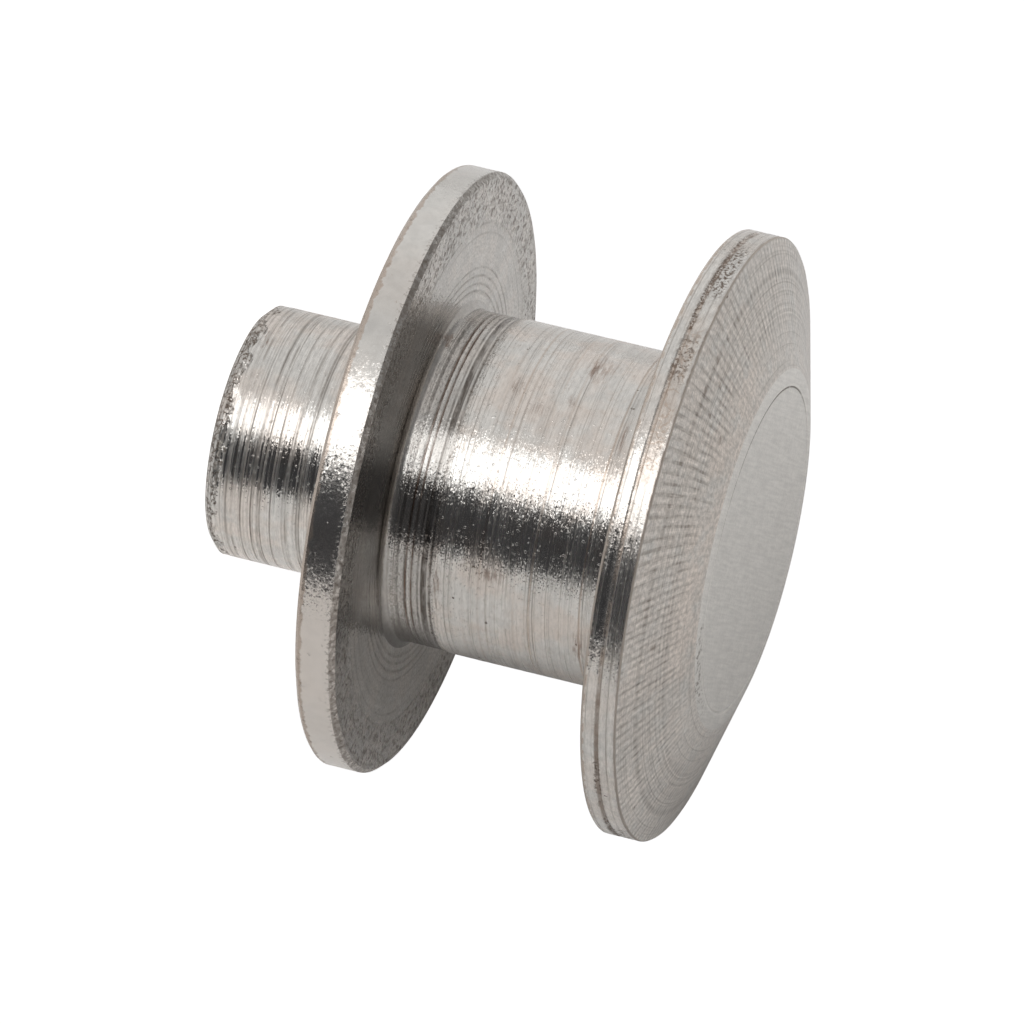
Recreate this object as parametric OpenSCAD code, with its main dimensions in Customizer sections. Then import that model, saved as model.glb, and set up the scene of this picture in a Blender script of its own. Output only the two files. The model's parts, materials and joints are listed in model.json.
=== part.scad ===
// Drive pin, turned in one piece from steel bar.
//
// A short spigot is pressed into its carrier until the collar seats on it. The neck between the
// collar and the head is the driving surface: a slotted or forked part works against it and is
// kept on by the two wide flanges. The pin stands on the spigot's end, with its head up, and its
// axis is the Z axis. All lengths are in millimetres.

/* [Spigot] */
// Diameter of the spigot that is pressed into the carrier
spigot_d = 6; // [4.5:0.1:7]
// Length of the spigot, from its end to the collar
spigot_len = 3.8; // [2:0.1:8]
// Edge break at the spigot's end
spigot_break = 0.2; // [0.05:0.05:0.5]
// Fillet where the spigot meets the collar
spigot_root_r = 0.12; // [0.05:0.01:0.2]

/* [Collar] */
// Diameter of the collar
collar_d = 14.4; // [11:0.1:20]
// Thickness of the collar
collar_t = 0.95; // [0.7:0.05:3]
// Edge break on the collar's spigot side
collar_seat_break = 0.08; // [0.02:0.01:0.2]
// Edge break on the collar's neck side
collar_neck_break = 0.12; // [0.02:0.01:0.2]

/* [Neck] */
// Diameter of the neck, which carries the drive
neck_d = 8; // [7.5:0.1:9.8]
// Length of the neck, from the collar to the head
neck_len = 5.95; // [3:0.05:14]
// Fillet where the neck meets the collar
collar_root_r = 0.2; // [0.1:0.01:0.4]
// Fillet where the neck meets the head
head_root_r = 0.18; // [0.05:0.01:0.3]

/* [Run-out relief] */
// Length of the stepped relief next to the collar, where the neck tool ran out
relief_len = 1.24; // [0.8:0.01:2]
// Depth of the relief below the neck
relief_depth = 0.03; // [0.01:0.005:0.1]
// Pitch of the coarse feed grooves in the relief
feed_pitch = 0.16; // [0.15:0.005:0.3]
// Depth of the feed grooves below the relief
feed_depth = 0.008; // [0.005:0.001:0.03]
// Nose radius of the tool that left the feed grooves
feed_nose_r = 0.3; // [0.1:0.01:0.4]

/* [Head] */
// Diameter of the head
head_d = 14.4; // [11:0.1:20]
// Height of the head's cylindrical rim
rim_h = 0.85; // [0.6:0.05:2]
// Edge break at the back of the rim
rim_back_break = 0.05; // [0.02:0.01:0.15]
// Edge break where the rim meets the cone
rim_front_break = 0.03; // [0.02:0.005:0.15]
// Height that the cone rises from the rim to the flat land
cone_h = 1; // [0.4:0.05:1.6]
// Diameter across the flat land, to the corner it would have with the cone
land_d = 8.3; // [6:0.1:9.5]
// Radius that blends the land into the cone
land_blend_r = 1; // [0.2:0.1:1.5]

/* [Scribed lines] */
// Width of the groove round the middle of the rim
rim_groove_w = 0.13; // [0.06:0.01:0.2]
// Depth of the groove round the rim
rim_groove_depth = 0.015; // [0.005:0.005:0.06]
// Distance of the rim groove's middle from the back of the head
rim_groove_at = 0.4; // [0.2:0.05:0.45]
// Distance of the witness line inside the edge of the flat land
witness_inset = 0.12; // [0.05:0.01:0.4]
// Width of the witness line
witness_w = 0.05; // [0.03:0.01:0.08]
// Depth of the witness line
witness_depth = 0.012; // [0.005:0.001:0.015]

/* [Hidden] */
$fn = 96;

// How far one section runs into the next, so that they join without a seam
lap = 0.05;

// Heights of the faces above the spigot's end
collar_z = spigot_len;
neck_z = collar_z + collar_t;
head_z = neck_z + neck_len;
rim_z = head_z + rim_h;
land_z = rim_z + cone_h;

// The cone's slope, and how far its blend with the land reaches either side of their corner
cone_run = (head_d - land_d) / 2;
slope = atan2(cone_h, cone_run);
blend_tangent = land_blend_r * tan(slope / 2);
flat_r = land_d / 2 - blend_tangent;
cone_top_r = land_d / 2 + blend_tangent * cos(slope);

// Half the width of a round groove cut to a depth by a tool of this nose radius
function groove_half_w(depth, nose_r) = sqrt(2 * nose_r * depth - depth * depth);

// Nose radius of the tool that cuts a round groove of this width and depth
function groove_nose_r(w, depth) = (w * w / 4 + depth * depth) / (2 * depth);

// The feed grooves fill the relief between the collar's fillet and the relief's end
relief_r = neck_d / 2 - relief_depth;
feed_edge = 0.025;
feed_half_w = groove_half_w(feed_depth, feed_nose_r);
feed_last = relief_len - feed_half_w - feed_edge;
feed_first = collar_root_r + feed_half_w;
feed_count = 1 + floor((feed_last - feed_first) / feed_pitch);

// Section of a round bar of diameter d between two heights
module bar_section(d, low, high) {
    translate([0, low])
        square([d / 2, high - low]);
}

// Section that a 45 degree edge break takes off a corner, where inward is up (1) or down (-1)
module edge_break_section(r, z, size, inward) {
    translate([r, z])
        scale([1, inward])
            polygon([
                [-size - lap, -lap],
                [lap, -lap],
                [lap, size + lap]
            ]);
}

// Section of a fillet in the corner between a shaft and a flange, on the flange's upper (1) or
// lower (-1) face
module fillet_section(shaft_r, face_z, fillet_r, side) {
    translate([shaft_r, face_z])
        scale([1, side])
            difference() {
                translate([-lap, -lap])
                    square(fillet_r + lap);
                translate([fillet_r, fillet_r])
                    circle(fillet_r);
            }
}

// Section of the nose of a tool that cuts a round groove into a shaft
module shaft_groove_section(shaft_r, z, depth, nose_r) {
    translate([shaft_r + nose_r - depth, z])
        circle(nose_r);
}

// Section of the nose of a tool that cuts a round groove down into a face
module face_groove_section(r, face_z, depth, nose_r) {
    translate([r, face_z + nose_r - depth])
        circle(nose_r);
}

module spigot_section() {
    difference() {
        bar_section(spigot_d, 0, collar_z + lap);
        edge_break_section(spigot_d / 2, 0, spigot_break, 1);
    }
    fillet_section(spigot_d / 2, collar_z, spigot_root_r, -1);
}

module collar_section() {
    difference() {
        bar_section(collar_d, collar_z, neck_z);
        edge_break_section(collar_d / 2, collar_z, collar_seat_break, 1);
        edge_break_section(collar_d / 2, neck_z, collar_neck_break, -1);
    }
}

// The relief is one step below the neck, with the coarse turns of the tool's run-out in it
module relief_section() {
    difference() {
        bar_section(2 * relief_r, neck_z - lap, neck_z + relief_len + lap);
        for (i = [0 : feed_count - 1])
            shaft_groove_section(
                relief_r, neck_z + feed_last - i * feed_pitch, feed_depth, feed_nose_r);
    }
    fillet_section(relief_r, neck_z, collar_root_r, 1);
}

module neck_section() {
    relief_section();
    bar_section(neck_d, neck_z + relief_len, head_z + lap);
    fillet_section(neck_d / 2, head_z, head_root_r, -1);
}

// What the blend radius takes off the corner between the cone and the land
module land_blend_section() {
    difference() {
        polygon([
            [flat_r, land_z],
            [flat_r, land_z + lap],
            [cone_top_r, land_z + lap],
            [cone_top_r, land_z - blend_tangent * sin(slope)]
        ]);
        translate([flat_r, land_z - land_blend_r])
            circle(land_blend_r);
    }
}

// A cylindrical rim, a low cone and a flat land, with a groove round the rim and a fine witness
// line just inside the land's edge
module head_section() {
    difference() {
        polygon([
            [0, head_z],
            [head_d / 2 - rim_back_break, head_z],
            [head_d / 2, head_z + rim_back_break],
            [head_d / 2, rim_z - rim_front_break],
            [head_d / 2 - rim_front_break, rim_z + rim_front_break * tan(slope)],
            [land_d / 2, land_z],
            [0, land_z]
        ]);
        land_blend_section();
        shaft_groove_section(
            head_d / 2, head_z + rim_groove_at, rim_groove_depth,
            groove_nose_r(rim_groove_w, rim_groove_depth));
        face_groove_section(
            flat_r - witness_inset, land_z, witness_depth,
            groove_nose_r(witness_w, witness_depth));
    }
}

// The whole pin, turned from one bar
module drive_pin() {
    color([0.74, 0.72, 0.7])
        rotate_extrude() {
            spigot_section();
            collar_section();
            neck_section();
            head_section();
        }
}

drive_pin();
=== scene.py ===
"""Looks of the drive pin, a small turned steel pin that stands on its spigot with its head up.

The pin's axis is Z. Heights, radii and other lengths are in millimetres, and become metres only in
the mesh, in the camera and in the stage. An azimuth is an angle in degrees round the axis: 0 faces
the camera. A seed picks one of the many patterns that a noise can make.
"""

import json
import math

import bpy
import numpy as np
from mathutils import Matrix, Vector


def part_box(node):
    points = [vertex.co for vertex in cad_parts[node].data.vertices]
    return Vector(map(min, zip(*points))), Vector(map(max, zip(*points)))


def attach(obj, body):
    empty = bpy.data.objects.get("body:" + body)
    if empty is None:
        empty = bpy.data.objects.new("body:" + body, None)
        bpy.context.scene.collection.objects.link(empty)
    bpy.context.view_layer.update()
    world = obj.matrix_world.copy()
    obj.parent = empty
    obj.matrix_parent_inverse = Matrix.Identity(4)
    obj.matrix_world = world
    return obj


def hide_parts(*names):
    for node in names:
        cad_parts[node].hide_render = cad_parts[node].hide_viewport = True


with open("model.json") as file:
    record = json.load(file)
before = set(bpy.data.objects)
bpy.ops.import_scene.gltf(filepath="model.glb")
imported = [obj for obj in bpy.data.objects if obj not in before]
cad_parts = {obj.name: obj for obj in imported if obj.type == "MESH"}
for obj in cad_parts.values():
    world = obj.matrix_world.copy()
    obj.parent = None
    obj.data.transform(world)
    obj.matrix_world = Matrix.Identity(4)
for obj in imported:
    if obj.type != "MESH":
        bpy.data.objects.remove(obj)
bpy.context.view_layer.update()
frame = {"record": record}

MM = 0.001
PIN = "drive_pin"
MOUNTS = {m["name"]: m for m in frame["record"]["mounts"]}
_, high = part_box(PIN)

# ---------------------------------------------------------------- sizes, in millimetres

# From the frame
SPIGOT_R = MOUNTS["spigot"]["dims"]["r_mm"]
NECK_R = MOUNTS["neck"]["dims"]["r_mm"]
COLLAR_Z = MOUNTS["collar_seat"]["pos_m"][2] / MM
FLANGE_R = high.x / MM
LAND_Z = high.z / MM

# The section's own sizes, as in the part's source
SPIGOT_BREAK = 0.2
SPIGOT_ROOT_R = 0.12
COLLAR_T = 0.95
COLLAR_SEAT_BREAK = 0.08
COLLAR_NECK_BREAK = 0.12
COLLAR_ROOT_R = 0.2
RELIEF_LEN = 1.24
RELIEF_DEPTH = 0.03
FEED_PITCH = 0.16
FEED_DEPTH = 0.008
FEED_NOSE_R = 0.3
FEED_EDGE = 0.025
HEAD_ROOT_R = 0.18
RIM_H = 0.85
RIM_BACK_BREAK = 0.05
RIM_FRONT_BREAK = 0.03
RIM_GROOVE_W = 0.13
RIM_GROOVE_DEPTH = 0.015
RIM_GROOVE_AT = 0.4
CONE_H = 1.0
LAND_R = 4.15
LAND_BLEND_R = 1.0
WITNESS_INSET = 0.12
WITNESS_W = 0.05
WITNESS_DEPTH = 0.012

NECK_Z = COLLAR_Z + COLLAR_T
RIM_Z = LAND_Z - CONE_H
HEAD_Z = RIM_Z - RIM_H
RIM_GROOVE_Z = HEAD_Z + RIM_GROOVE_AT
SLOPE = math.atan2(CONE_H, FLANGE_R - LAND_R)
BLEND_TANGENT = LAND_BLEND_R * math.tan(SLOPE / 2)
FLAT_R = LAND_R - BLEND_TANGENT
WITNESS_R = FLAT_R - WITNESS_INSET

# ---------------------------------------------------------------- mesh of the pin

# Columns of points round the pin, the longest steps between its rows, and the rows of an arc
COLUMNS = 192
END_STEP = 0.4
HIDDEN_STEP = 0.25
LAND_STEP = 0.2
FACE_STEP = 0.07
NECK_STEP = 0.046
SPIGOT_STEP = 0.036
RIM_STEP = 0.03
EDGE_STEP = 0.02
ARC_ROWS = 6
WIDE_ARC_ROWS = 8

# The mesh closes at the axis with one point in the middle of a ring of this radius
POLE_R = 0.15
SHARP_ANGLE = math.radians(28)

# Wear: its seed, and its depth on the walls, along the edges and in the torn band on the spigot.
# The nicks of an edge reach EDGE_REACH along the axis and EDGE_INSET inward. The torn band lies
# between TORN_START and TORN_END, and fades within TORN_FADE.
SEED = 8
TURN_WEAR = 0.002
EDGE_WEAR = 0.012
EDGE_REACH = 0.16
EDGE_INSET = 0.2
TORN_WEAR = 0.03
TORN_START = 0.05
TORN_END = 0.42
TORN_FADE = 0.12


class Outline:
    """The pin's half section as a list of (radius, height) points, with the zone of each run."""

    def __init__(self, r, z):
        self.points = [(r, z)]
        self.zones = []

    def line(self, r, z, zone, step):
        """A straight run to a point, cut into pieces no longer than step."""
        r0, z0 = self.points[-1]
        count = max(1, math.ceil(math.hypot(r - r0, z - z0) / step))
        for i in range(1, count + 1):
            self.points.append((r0 + (r - r0) * i / count, z0 + (z - z0) * i / count))
            self.zones.append(zone)

    def arc(self, centre_r, centre_z, radius, start, end, zone, count):
        """An arc from one angle to another, in degrees from the outward direction."""
        for i in range(1, count + 1):
            a = math.radians(start + (end - start) * i / count)
            point = (centre_r + radius * math.cos(a), centre_z + radius * math.sin(a))
            self.points.append(point)
            self.zones.append(zone)

    def wall_groove(self, wall_r, z, depth, nose_r, zone, count=ARC_ROWS):
        """A round groove in a wall, on the way up."""
        half = math.degrees(math.acos((nose_r - depth) / nose_r))
        self.arc(wall_r + nose_r - depth, z, nose_r, 180 + half, 180 - half, zone, count)

    def face_groove(self, r, face_z, depth, nose_r, zone):
        """A round groove in a face that looks up, on the way in."""
        half = math.degrees(math.acos((nose_r - depth) / nose_r))
        self.arc(r, face_z + nose_r - depth, nose_r, 270 + half, 270 - half, zone, ARC_ROWS)

    def root(self, wall_r, face_z, radius, zone):
        """A fillet from a wall up to a face that looks down."""
        self.arc(wall_r + radius, face_z - radius, radius, 180, 90, zone, ARC_ROWS)


def nose_radius(width, depth):
    """Nose radius of a tool that cuts a round groove of this width and depth."""
    return (width * width / 4 + depth * depth) / (2 * depth)


def half_width(depth, nose_r):
    """Half the width of a round groove, from its depth and the tool's nose radius."""
    return math.sqrt(2 * nose_r * depth - depth * depth)


def relief(outline):
    """The stepped relief next to the collar, with the coarse turns of the tool's run-out."""
    wall = NECK_R - RELIEF_DEPTH
    half = half_width(FEED_DEPTH, FEED_NOSE_R)
    last = RELIEF_LEN - half - FEED_EDGE
    first = COLLAR_ROOT_R + half
    count = 1 + math.floor((last - first) / FEED_PITCH)
    root_r = wall + COLLAR_ROOT_R
    root_z = NECK_Z + COLLAR_ROOT_R
    outline.arc(root_r, root_z, COLLAR_ROOT_R, 270, 180, "relief", WIDE_ARC_ROWS)
    for i in range(count - 1, -1, -1):
        z = NECK_Z + last - i * FEED_PITCH
        outline.line(wall, z - half, "relief", EDGE_STEP)
        outline.wall_groove(wall, z, FEED_DEPTH, FEED_NOSE_R, "relief")
    outline.line(wall, NECK_Z + RELIEF_LEN, "relief", EDGE_STEP)
    outline.line(NECK_R, NECK_Z + RELIEF_LEN, "relief", EDGE_STEP)


def head_rim(outline):
    """The head's rim, with its round groove and its two breaks."""
    groove_start = RIM_GROOVE_Z - RIM_GROOVE_W / 2
    nose_r = nose_radius(RIM_GROOVE_W, RIM_GROOVE_DEPTH)
    front_z = RIM_Z + RIM_FRONT_BREAK * math.tan(SLOPE)
    outline.line(FLANGE_R, HEAD_Z + RIM_BACK_BREAK, "head_rim", EDGE_STEP)
    outline.line(FLANGE_R, groove_start, "head_rim", RIM_STEP)
    outline.wall_groove(
        FLANGE_R, RIM_GROOVE_Z, RIM_GROOVE_DEPTH, nose_r, "head_rim", WIDE_ARC_ROWS)
    outline.line(FLANGE_R, RIM_Z - RIM_FRONT_BREAK, "head_rim", RIM_STEP)
    outline.line(FLANGE_R - RIM_FRONT_BREAK, front_z, "head_rim", RIM_STEP)


def land(outline):
    """The blend from the cone into the flat land, and the witness line inside the land's edge."""
    blend_start = 90 - math.degrees(SLOPE)
    blend_z = LAND_Z - LAND_BLEND_R
    nose_r = nose_radius(WITNESS_W, WITNESS_DEPTH)
    outline.arc(FLAT_R, blend_z, LAND_BLEND_R, blend_start, 90, "land", WIDE_ARC_ROWS)
    outline.line(WITNESS_R + WITNESS_W / 2, LAND_Z, "land", RIM_STEP)
    outline.face_groove(WITNESS_R, LAND_Z, WITNESS_DEPTH, nose_r, "land")
    outline.line(POLE_R, LAND_Z, "land", LAND_STEP)


def pin_outline():
    """The pin's half section, from the spigot's end up to the land."""
    o = Outline(POLE_R, 0)
    o.line(SPIGOT_R - SPIGOT_BREAK, 0, "spigot_end", END_STEP)
    o.line(SPIGOT_R, SPIGOT_BREAK, "spigot", RIM_STEP)
    o.line(SPIGOT_R, COLLAR_Z - SPIGOT_ROOT_R, "spigot", SPIGOT_STEP)
    o.root(SPIGOT_R, COLLAR_Z, SPIGOT_ROOT_R, "spigot")
    o.line(FLANGE_R - COLLAR_SEAT_BREAK, COLLAR_Z, "collar_seat", HIDDEN_STEP)
    o.line(FLANGE_R, COLLAR_Z + COLLAR_SEAT_BREAK, "collar_rim", EDGE_STEP)
    o.line(FLANGE_R, NECK_Z - COLLAR_NECK_BREAK, "collar_rim", RIM_STEP)
    o.line(FLANGE_R - COLLAR_NECK_BREAK, NECK_Z, "collar_rim", RIM_STEP)
    o.line(NECK_R - RELIEF_DEPTH + COLLAR_ROOT_R, NECK_Z, "collar_face", FACE_STEP)
    relief(o)
    o.line(NECK_R, HEAD_Z - HEAD_ROOT_R, "neck", NECK_STEP)
    o.root(NECK_R, HEAD_Z, HEAD_ROOT_R, "neck")
    o.line(FLANGE_R - RIM_BACK_BREAK, HEAD_Z, "head_back", HIDDEN_STEP)
    head_rim(o)
    cone_top = LAND_R + BLEND_TANGENT * math.cos(SLOPE)
    o.line(cone_top, LAND_Z - BLEND_TANGENT * math.sin(SLOPE), "cone", FACE_STEP)
    land(o)
    return o


def smooth_noise(rows, row_cell, column_cell, seed):
    """Noise of mean 0 and deviation 1, as rows by COLUMNS, that repeats round the pin.

    A cell is the size of a bump, in rows or in columns.
    """
    white = np.random.default_rng(seed).standard_normal((rows, COLUMNS))
    row_freq = np.fft.fftfreq(rows)[:, None] * row_cell
    column_freq = np.fft.fftfreq(COLUMNS)[None, :] * column_cell
    spectrum = np.fft.fft2(white) * np.exp(-8 * (row_freq**2 + column_freq**2))
    noise = np.fft.ifft2(spectrum).real
    return (noise - noise.mean()) / noise.std()


def wear(points, zones):
    """How far the surface lies inside its true shape, in millimetres, as rows by COLUMNS."""
    rows = len(points)
    height = points[:, 1:]
    wall = np.array([zone in ("spigot", "neck") for zone in zones + zones[-1:]])[:, None]
    turns = smooth_noise(rows, row_cell=2.0, column_cell=60.0, seed=SEED)
    depth = wall * TURN_WEAR * np.clip(turns + 0.5, 0, 2)
    torn = smooth_noise(rows, row_cell=3.0, column_cell=3.0, seed=SEED + 1)
    torn = torn + 0.6 * smooth_noise(rows, row_cell=5.0, column_cell=8.0, seed=SEED + 2)
    fade_in = np.clip((height - TORN_START) / TORN_START, 0, 1)
    fade_out = np.clip((TORN_END - height) / TORN_FADE, 0, 1)
    depth = depth + fade_in * fade_out * TORN_WEAR * np.clip(torn, 0, 1.5)
    nicks = smooth_noise(rows, row_cell=4.0, column_cell=3.0, seed=SEED + 3)
    for place in (COLLAR_Z, NECK_Z, HEAD_Z, RIM_Z):
        near = np.clip(1 - np.abs(height - place) / EDGE_REACH, 0, 1)
        near = near * (points[:, :1] > FLANGE_R - EDGE_INSET)
        depth = depth + near * EDGE_WEAR * np.clip(nicks - 0.3, 0, 2)
    return depth


def build_pin():
    """One closed mesh, turned from the outline, with one material slot for each zone."""
    outline = pin_outline()
    points = np.array(outline.points)
    rows = len(points)
    azimuth = np.arange(COLUMNS) * (2 * math.pi / COLUMNS)
    radius = points[:, :1] - wear(points, outline.zones)
    height = np.repeat(points[:, 1:], COLUMNS, axis=1)
    ring = np.stack([radius * np.sin(azimuth), -radius * np.cos(azimuth), height], axis=-1)
    ends = [(0, 0, points[0, 1]), (0, 0, points[-1, 1])]
    vertices = np.concatenate([ring.reshape(-1, 3), ends]) * MM

    zone_names = list(dict.fromkeys(outline.zones))
    faces, slots = [], []
    for row in range(rows - 1):
        a, b = row * COLUMNS, (row + 1) * COLUMNS
        for c in range(COLUMNS):
            d = (c + 1) % COLUMNS
            faces.append((a + c, a + d, b + d, b + c))
        slots += [zone_names.index(outline.zones[row])] * COLUMNS
    bottom, top, last = rows * COLUMNS, rows * COLUMNS + 1, (rows - 1) * COLUMNS
    for c in range(COLUMNS):
        d = (c + 1) % COLUMNS
        faces.append((bottom, d, c))
        faces.append((top, last + c, last + d))
        slots += [0, len(zone_names) - 1]

    mesh = bpy.data.meshes.new("turned_pin")
    mesh.from_pydata(vertices.tolist(), [], faces)
    mesh.polygons.foreach_set("material_index", slots)
    mesh.polygons.foreach_set("use_smooth", [True] * len(faces))
    mesh.update()
    mesh.set_sharp_from_angle(angle=SHARP_ANGLE)
    pin = bpy.data.objects.new("turned_pin", mesh)
    bpy.context.scene.collection.objects.link(pin)
    return pin, zone_names


# ---------------------------------------------------------------- shader nodes


class Nodes:
    """Adds and links shader nodes. Plain numbers go on sockets."""

    def __init__(self, tree):
        self.tree = tree
        tree.nodes.clear()

    def add(self, kind, inputs=None, **settings):
        node = self.tree.nodes.new(kind)
        for name, value in settings.items():
            setattr(node, name, value)
        for key, value in (inputs or {}).items():
            self.put(node.inputs[key], value)
        return node

    def put(self, socket, value):
        if isinstance(value, bpy.types.NodeSocket):
            self.tree.links.new(value, socket)
        elif isinstance(value, tuple):
            socket.default_value = value[:len(socket.default_value)]
        else:
            socket.default_value = value

    def math(self, operation, a, b=0.0, c=0.0):
        return self.add("ShaderNodeMath", {0: a, 1: b, 2: c}, operation=operation).outputs[0]

    def times(self, a, b):
        return self.math("MULTIPLY", a, b)

    def centred(self, noise):
        """A noise less its mean, which is a half."""
        return self.math("SUBTRACT", noise, 0.5)

    def step(self, value, start, end, low=0.0, high=1.0):
        """Goes smoothly from low to high as value goes from start to end."""
        node = self.add(
            "ShaderNodeMapRange",
            {"Value": value, "From Min": start, "From Max": end, "To Min": low, "To Max": high},
            interpolation_type="SMOOTHSTEP")
        return node.outputs["Result"]

    def window(self, value, start, end, soft):
        """1 between start and end, and 0 outside, with soft edges."""
        rise = self.step(value, start - soft / 2, start + soft / 2)
        fall = self.step(value, end - soft / 2, end + soft / 2, 1.0, 0.0)
        return self.times(rise, fall)

    def mix(self, amount, a, b):
        node = self.add("ShaderNodeMix", data_type="RGBA")
        self.put(node.inputs["Factor"], amount)
        self.put(node.inputs["A"], a)
        self.put(node.inputs["B"], b)
        return node.outputs["Result"]

    def shift(self, vector, offset):
        return self.add("ShaderNodeVectorMath", {0: vector, 1: offset}).outputs[0]

    def scale(self, vector, factor):
        node = self.add("ShaderNodeVectorMath", {0: vector, "Scale": factor}, operation="SCALE")
        return node.outputs[0]

    def split(self, vector):
        outputs = self.add("ShaderNodeSeparateXYZ", {0: vector}).outputs
        return outputs[0], outputs[1], outputs[2]

    def join(self, x, y, z):
        return self.add("ShaderNodeCombineXYZ", {0: x, 1: y, 2: z}).outputs[0]

    def noise(self, vector, scale, detail, roughness=0.5):
        """Noise round a mean of a half, nearly all of it between 0.3 and 0.7."""
        node = self.add(
            "ShaderNodeTexNoise",
            {"Vector": vector, "Scale": scale, "Detail": detail, "Roughness": roughness})
        return node.outputs["Fac"]

    def glowing(self, colour, strength, one_sided=False):
        """A matt surface that also glows white. A one-sided one is clear from behind."""
        matt = self.add("ShaderNodeBsdfDiffuse", {"Color": colour})
        glow = self.add("ShaderNodeEmission", {"Color": WHITE, "Strength": strength})
        shader = self.add("ShaderNodeAddShader", {0: matt.outputs[0], 1: glow.outputs[0]}).outputs[0]
        if one_sided:
            behind = self.add("ShaderNodeNewGeometry").outputs["Backfacing"]
            clear = self.add("ShaderNodeBsdfTransparent").outputs[0]
            shader = self.add("ShaderNodeMixShader", {0: behind, 1: shader, 2: clear}).outputs[0]
        self.put(self.add("ShaderNodeOutputMaterial").inputs["Surface"], shader)


# ---------------------------------------------------------------- steel

WHITE = (1, 1, 1, 1)
BLACK = (0, 0, 0, 1)
STEEL = (0.67, 0.65, 0.62, 1)
WARM_STEEL = (0.67, 0.61, 0.56, 1)
GREY_STEEL = (0.60, 0.587, 0.563, 1)
# Dull steel tone, also used as painted shade on the collar rim and the relief.
DULL_STEEL_AND_SHADE = (0.30, 0.28, 0.26, 1)
DARK_STEEL = (0.12, 0.105, 0.093, 1)
GROOVE = (0.20, 0.172, 0.148, 1)
RESIDUE = (0.13, 0.095, 0.07, 1)
WARM_RESIDUE = (0.42, 0.32, 0.25, 1)
PALE_RESIDUE = (0.60, 0.52, 0.45, 1)
RUST = (0.20, 0.11, 0.07, 1)
CLOT = (0.12, 0.07, 0.04, 1)
MICRON = 1e-6

# The deepest turning lines: heights on the spigot, heights above NECK_Z in the relief and on the
# neck, and radii on the collar's face
SPIGOT_TURNS = (0.7, 1.36, 2.04, 2.31)
RELIEF_TURNS = (0.59, 0.73)
NECK_TURNS = (2.15, 3.05, 4.89, 4.98)
COLLAR_ROOT_TURNS = (4.95, 4.75, 4.55, 4.38)
COLLAR_EDGE_TURNS = (6.45, 6.02)

# Dark stripes in the relief, partly residue and partly painted shade of its grooves, weaker where the
# highlight falls: height above NECK_Z, width and strength
RELIEF_STAIN_AND_SHADE_STRIPES = (
    (0.16, 0.05, 0.4), (0.37, 0.08, 0.6), (0.58, 0.06, 1.0), (0.73, 0.05, 0.9),
    (0.89, 0.05, 0.8), (1.03, 0.15, 1.0), (1.19, 0.05, 0.9))
STRIPE_SOFT = 0.035

# How much the relief's shading follows the plain wall and not its grooves, and how much it leans up
RELIEF_CALM = 8.0
RELIEF_TAPER = 0.1

# Dull rings on the cone, each with a painted highlight just outside it: radius, width and strength
CONE_RINGS = (
    (6.45, 0.13, 0.34), (6.0, 0.08, 0.12), (5.75, 0.05, 0.2), (5.6, 0.05, 0.2), (5.47, 0.08, 0.25))

# Stains: height, azimuth, half length and half angle. On the neck the heights are above NECK_Z, and
# the strength comes last. On the cone a radius stands in place of the height.
SPIGOT_STAIN = (0.55, -45.0, 0.14, 9.0)
RELIEF_STAIN = (NECK_Z + 0.15, -50.0, 0.16, 5.0)
NECK_STAINS = (
    (3.85, -54.0, 0.5, 11.0, 0.4), (3.68, -52.0, 0.12, 7.0, 0.6), (3.5, -36.0, 0.15, 4.0, 0.35),
    (4.97, -26.0, 0.08, 8.0, 0.6), (2.65, 30.0, 0.5, 4.0, 0.5), (4.8, 52.0, 0.2, 12.0, 0.5),
    (2.15, -36.0, 0.2, 5.0, 0.3), (2.85, -30.0, 0.25, 4.0, 0.3), (1.35, 40.0, 0.12, 14.0, 0.5))
CONE_STAINS = (
    (5.25, -25.0, 0.16, 1.8), (6.0, 27.0, 0.18, 1.2), (6.0, -35.0, 0.14, 1.0),
    (5.95, -27.0, 0.14, 0.8), (6.45, -30.0, 0.14, 1.4), (6.45, -38.0, 0.14, 1.8))

# Sectors round the pin: start, end and softness, in degrees of azimuth
SPIGOT_PAINTED_LIGHT = (25, 130, 30)
COLLAR_RIM_PAINTED_SHADE = (-40, -18, 14)
COLLAR_RIM_WARM = (20, 110, 20)
COLLAR_FACE_PAINTED_SHADE = (0, 38, 12)
RELIEF_PAINTED_HIGHLIGHT = (-15, 3, 7)
RELIEF_TINTED_SHADE = (64, 105, 24)
RELIEF_PAINTED_SHADE = (68, 105, 20)
GROOVE_FULL = (30, 95, 15)
GROOVE_DRY = (-40, -8, 14)
CLOTS_BEFORE = (-82, -26, 12)
CLOTS_AFTER = (50, 90, 10)
SMEAR_STRONG = (-68, -48, 8)
SMEAR_WEAK = (-37, -27, 5)
SMEAR_LAST = (77, 90, 5)
FRONT_EDGE_DARK = (-50, 20, 12)
CONE_WARM = (-60, 50, 40)
CONE_PAINTED_LIGHT = (55, 120, 21)
WITNESS_DARK = (-110, 0, 50)
BLEND_SPOTTED = (25, 70, 12)

# The tool's chatter left this many marks round the cone. They lean CHATTER_LEAN radians aside for
# each millimetre inward, and the other way in the sector CHATTER_TURNED.
CHATTER = 162.0
CHATTER_LEAN = 0.03
CHATTER_TURNED = (25, 140, 30)

# Depth of a pit and height of a burr, in micrometres
PIT_DEPTH = 5.0
BURR_HEIGHT = 3.0


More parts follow.
